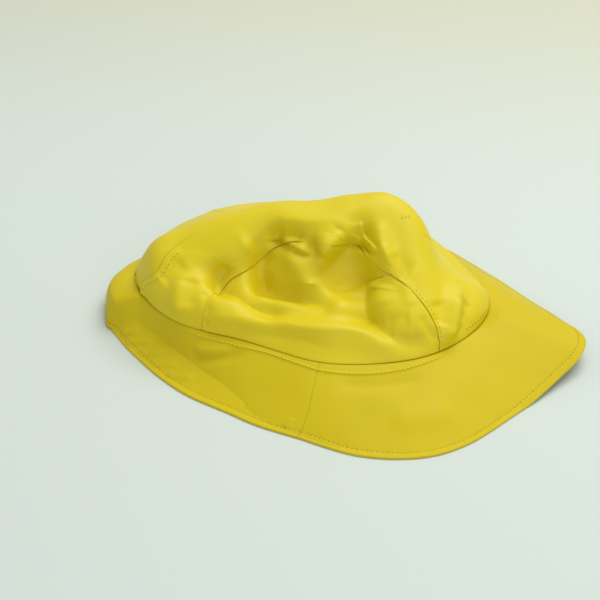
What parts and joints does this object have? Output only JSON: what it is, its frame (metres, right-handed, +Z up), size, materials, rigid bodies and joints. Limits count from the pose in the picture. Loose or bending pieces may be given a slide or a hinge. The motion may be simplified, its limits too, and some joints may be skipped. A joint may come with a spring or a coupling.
{
  "type": "sou wester hat",
  "caption": "Rain hat of coated cloth lying on its wide sloping brim, short in front and long behind, with one side of the soft crown caved in.",
  "frame": {"origin": "middle of the hat's box, on the surface that the brim rests on", "axes": "+Z up; -Y towards the front of the hat (short brim), +Y towards the back (long brim); +X towards the wearer's left, the caved side"},
  "size_m": [0.244, 0.307, 0.0883],
  "materials": {
    "crown_cloth": "smooth coated rain cloth, satin, bright yellow",
    "brim_cloth": "smooth coated rain cloth, satin, slightly deeper yellow"
  },
  "bodies": {
    "root": {"crown_near_side": "crown_cloth", "crown_near_top": "crown_cloth", "crown_far_top": "crown_cloth", "crown_far_side": "crown_cloth", "brim_front": "brim_cloth", "brim_back": "brim_cloth"}
  },
  "joints": []
}
